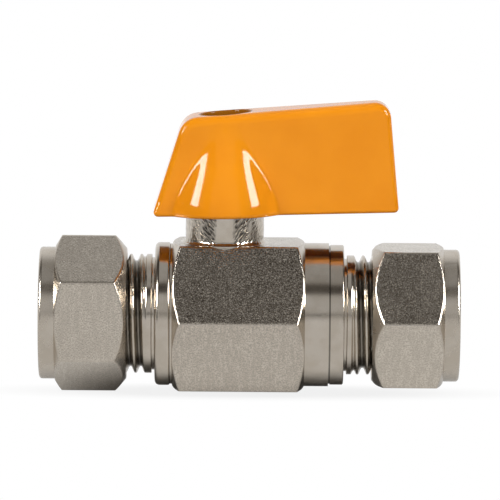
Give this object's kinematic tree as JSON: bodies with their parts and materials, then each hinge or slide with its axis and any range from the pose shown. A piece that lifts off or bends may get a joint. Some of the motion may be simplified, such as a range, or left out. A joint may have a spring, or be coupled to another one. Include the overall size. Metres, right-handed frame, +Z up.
{
  "type": "isolating valve",
  "caption": "Quarter-turn ball valve in nickel-plated brass with an orange lever and a compression joint at each end, for isolating 15 mm pipe.",
  "frame": {"origin": "centre of the stop against which the inlet pipe seats, on the pipe axis", "axes": "+X along the pipe from inlet to outlet, +Z up the stem, +Y to the back; the lever lies along +X when open"},
  "size_m": [0.0738, 0.0296, 0.0517],
  "materials": {
    "nickel_plate": "nickel plated, satin forged flats and bright turned collars",
    "polished_plate": "polished chrome plate",
    "plain_brass": "plain turned brass",
    "seat_plastic": "white PTFE",
    "seal_rubber": "black nitrile rubber",
    "lever_paint": "glossy orange-yellow paint on die-cast zinc",
    "zinc_steel": "zinc-plated steel"
  },
  "bodies": {
    "valve": {"valve_body": "nickel_plate", "end_connector": "nickel_plate", "inlet_seat": "seat_plastic", "outlet_seat": "seat_plastic"},
    "lever": {"lever_handle": "lever_paint", "handle_screw": "zinc_steel", "stem": "plain_brass", "thrust_washer": "seat_plastic", "lower_stem_ring": "seal_rubber", "upper_stem_ring": "seal_rubber", "ball": "polished_plate"},
    "inlet_ring": {"inlet_olive": "plain_brass"},
    "inlet_cap": {"inlet_nut": "nickel_plate"},
    "outlet_ring": {"outlet_olive": "plain_brass"},
    "outlet_cap": {"outlet_nut": "nickel_plate"}
  },
  "joints": [
    {"name": "lever_turn", "type": "hinge", "parent": "valve", "child": "lever", "pos_m": [0.0105, 0, 0], "axis": [0, 0, 1], "range_deg": [-90, 0]},
    {"name": "inlet_olive_slide", "type": "slide", "parent": "valve", "child": "inlet_ring", "axis": [-1, 0, 0], "range_m": [0, 0.00636]},
    {"name": "inlet_nut_turn", "type": "hinge", "parent": "inlet_ring", "child": "inlet_cap", "pos_m": [-0.014, 0, 0], "axis": [-1, 0, 0], "range_deg": [0, 1260]},
    {"name": "outlet_olive_slide", "type": "slide", "parent": "valve", "child": "outlet_ring", "axis": [1, 0, 0], "range_m": [0, 0.00636]},
    {"name": "outlet_nut_turn", "type": "hinge", "parent": "outlet_ring", "child": "outlet_cap", "pos_m": [0.044, 0, 0], "axis": [1, 0, 0], "range_deg": [0, 1260]}
  ],
  "couplings": [
    {"joint": "inlet_olive_slide", "follows": "inlet_nut_turn", "m_per_rad": 0.00028871},
    {"joint": "outlet_olive_slide", "follows": "outlet_nut_turn", "m_per_rad": 0.00028871}
  ]
}
